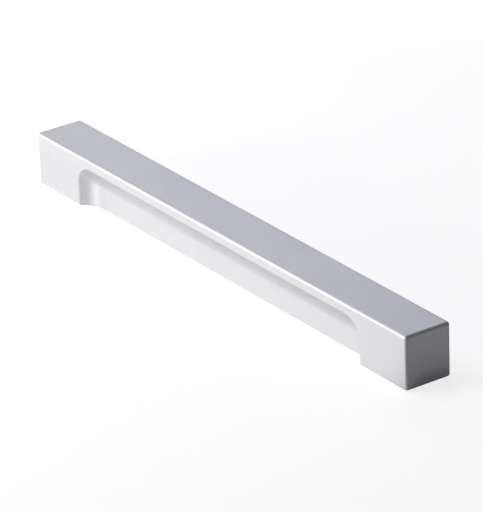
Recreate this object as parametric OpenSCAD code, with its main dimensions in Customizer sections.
// Furniture bar handle: a square bar with a finger recess in one long face.
// It lies on its fixing face, its length along X and the recess towards -Y.

/* [Bar] */
// overall length of the bar
bar_l = 217; // [120:1:400]
// width of the bar, from the recessed face to the plain back face
bar_w = 18.5; // [15:0.5:26]
// height of the bar off the furniture front
bar_h = 20; // [17:0.5:28]
// radius of the rounded outer edges and corners
edge_r = 1; // [0.4:0.1:1.6]

/* [Finger recess] */
// length of the full-width leg left at each end
leg_l = 25.5; // [20:0.5:40]
// thickness of the lip left above the recess
lip_t = 4; // [3:0.25:6]
// depth of the recess below the front face
recess_d = 4.5; // [3:0.25:6]
// radius of the ball-nosed cutter that leaves the cove
cove_r = 8.5; // [7:0.25:10]
// width of the broken edge round the mouth of the recess
mouth_break = 0.35; // [0.2:0.05:0.6]
// width of the broken edge where the recess runs out of the fixing face
foot_break = 0.3; // [0.2:0.05:0.6]

/* [Screw holes] */
// distance from each end of the bar to its screw hole
hole_inset = 12.5; // [10:0.5:16]
// diameter of the tapping hole for an M4 screw
tap_d = 3.3; // [3:0.1:4.2]
// depth of the tapping hole, without its drill point
tap_depth = 12.4; // [8:0.2:14]
// width of the bevel at the mouth of each hole
hole_bevel = 0.4; // [0.2:0.05:0.8]

/* [Hidden] */
$fn = 96;
// how far a cut runs past the surface that it opens
over = 1;
// how far a bevelled cut runs on inside the space it opens into
dip = 0.6;
// height of a drill point for its width
point_ratio = 0.3;
face_y = -bar_w / 2;
floor_y = face_y + recess_d;
ball_y = floor_y - cove_r;
ball_out = cove_r - recess_d;
mouth_r = sqrt(cove_r * cove_r - ball_out * ball_out);
ball_x = bar_l / 2 - leg_l - mouth_r;
ball_z = bar_h - lip_t - mouth_r;
// run of the mouth bevel sideways for each millimetre of depth, the same angle to face and wall
break_run = (cove_r + ball_out) / mouth_r;
wide_r = mouth_r + mouth_break + over * break_run;
deep_r = mouth_r + mouth_break - dip * break_run;
hole_x = bar_l / 2 - hole_inset;

// The plain bar, with every edge and corner rounded
module round_bar() {
  in_x = bar_l / 2 - edge_r;
  in_y = bar_w / 2 - edge_r;
  top_z = bar_h - edge_r;
  mid_h = top_z - edge_r;
  translate([-in_x, -bar_w / 2, edge_r])
    cube([2 * in_x, bar_w, mid_h]);
  translate([-bar_l / 2, -in_y, edge_r])
    cube([bar_l, 2 * in_y, mid_h]);
  translate([-in_x, -in_y, 0])
    cube([2 * in_x, 2 * in_y, bar_h]);
  for (sx = [-1, 1])
    for (sy = [-1, 1])
      translate([sx * in_x, sy * in_y, edge_r])
        cylinder(h = mid_h, r = edge_r);
  for (z = [edge_r, top_z]) {
    for (sy = [-1, 1])
      translate([-in_x, sy * in_y, z])
        rotate([0, 90, 0])
          cylinder(h = 2 * in_x, r = edge_r);
    for (sx = [-1, 1])
      translate([sx * in_x, in_y, z])
        rotate([90, 0, 0])
          cylinder(h = 2 * in_y, r = edge_r);
    for (sx = [-1, 1])
      for (sy = [-1, 1])
        translate([sx * in_x, sy * in_y, z])
          sphere(r = edge_r);
  }
}

// Path of the ball-nosed cutter: up one end, along under the lip and down the other
module cutter_path() {
  translate([-ball_x, ball_y, -over])
    cube([2 * ball_x, cove_r, ball_z + over]);
  translate([-ball_x, ball_y, ball_z])
    rotate([0, 90, 0])
      cylinder(h = 2 * ball_x, r = cove_r);
  for (sx = [-1, 1]) {
    translate([sx * ball_x, ball_y, -over])
      cylinder(h = ball_z + over, r = cove_r);
    translate([sx * ball_x, ball_y, ball_z])
      sphere(r = cove_r);
  }
}

// Bevel that breaks the edge round the mouth, in the front face
module mouth_bevel() {
  // both uprights, seen from above
  translate([0, 0, -over])
    linear_extrude(height = ball_z + over)
      polygon([
        [-ball_x - wide_r, face_y - over],
        [ball_x + wide_r, face_y - over],
        [ball_x + deep_r, face_y + dip],
        [-ball_x - deep_r, face_y + dip]
      ]);
  // the run under the lip, seen from the end
  translate([-ball_x, 0, 0])
    rotate([90, 0, 90])
      linear_extrude(height = 2 * ball_x)
        polygon([
          [face_y - over, ball_z],
          [face_y + dip, ball_z],
          [face_y + dip, ball_z + deep_r],
          [face_y - over, ball_z + wide_r]
        ]);
  // the two upper corners
  for (sx = [-1, 1])
    translate([sx * ball_x, face_y - over, ball_z])
      rotate([-90, 0, 0])
        cylinder(h = over + dip, r1 = wide_r, r2 = deep_r);
}

// Bevel that breaks the edge where the recess runs out of the fixing face
module foot_bevel() {
  translate([-ball_x, 0, 0])
    rotate([90, 0, 90])
      linear_extrude(height = 2 * ball_x)
        polygon([
          [ball_y, -over],
          [floor_y + foot_break + over, -over],
          [floor_y - dip, foot_break + dip],
          [ball_y, foot_break + dip]
        ]);
  for (sx = [-1, 1])
    translate([sx * ball_x, ball_y, -over])
      cylinder(h = over + foot_break + dip, r1 = cove_r + foot_break + over, r2 = cove_r - dip);
}

// Blind tapping hole with a drill point, open to the fixing face
module tap_hole() {
  translate([0, 0, -over])
    cylinder(h = tap_depth + over, r = tap_d / 2);
  translate([0, 0, tap_depth])
    cylinder(h = tap_d * point_ratio, r1 = tap_d / 2, r2 = 0);
  translate([0, 0, -over])
    cylinder(h = over + hole_bevel + dip, r1 = tap_d / 2 + hole_bevel + over, r2 = tap_d / 2 - dip);
}

module handle_body() {
  color("silver")
    difference() {
      round_bar();
      cutter_path();
      mouth_bevel();
      foot_bevel();
      for (sx = [-1, 1])
        translate([sx * hole_x, 0, 0])
          tap_hole();
    }
}

handle_body();
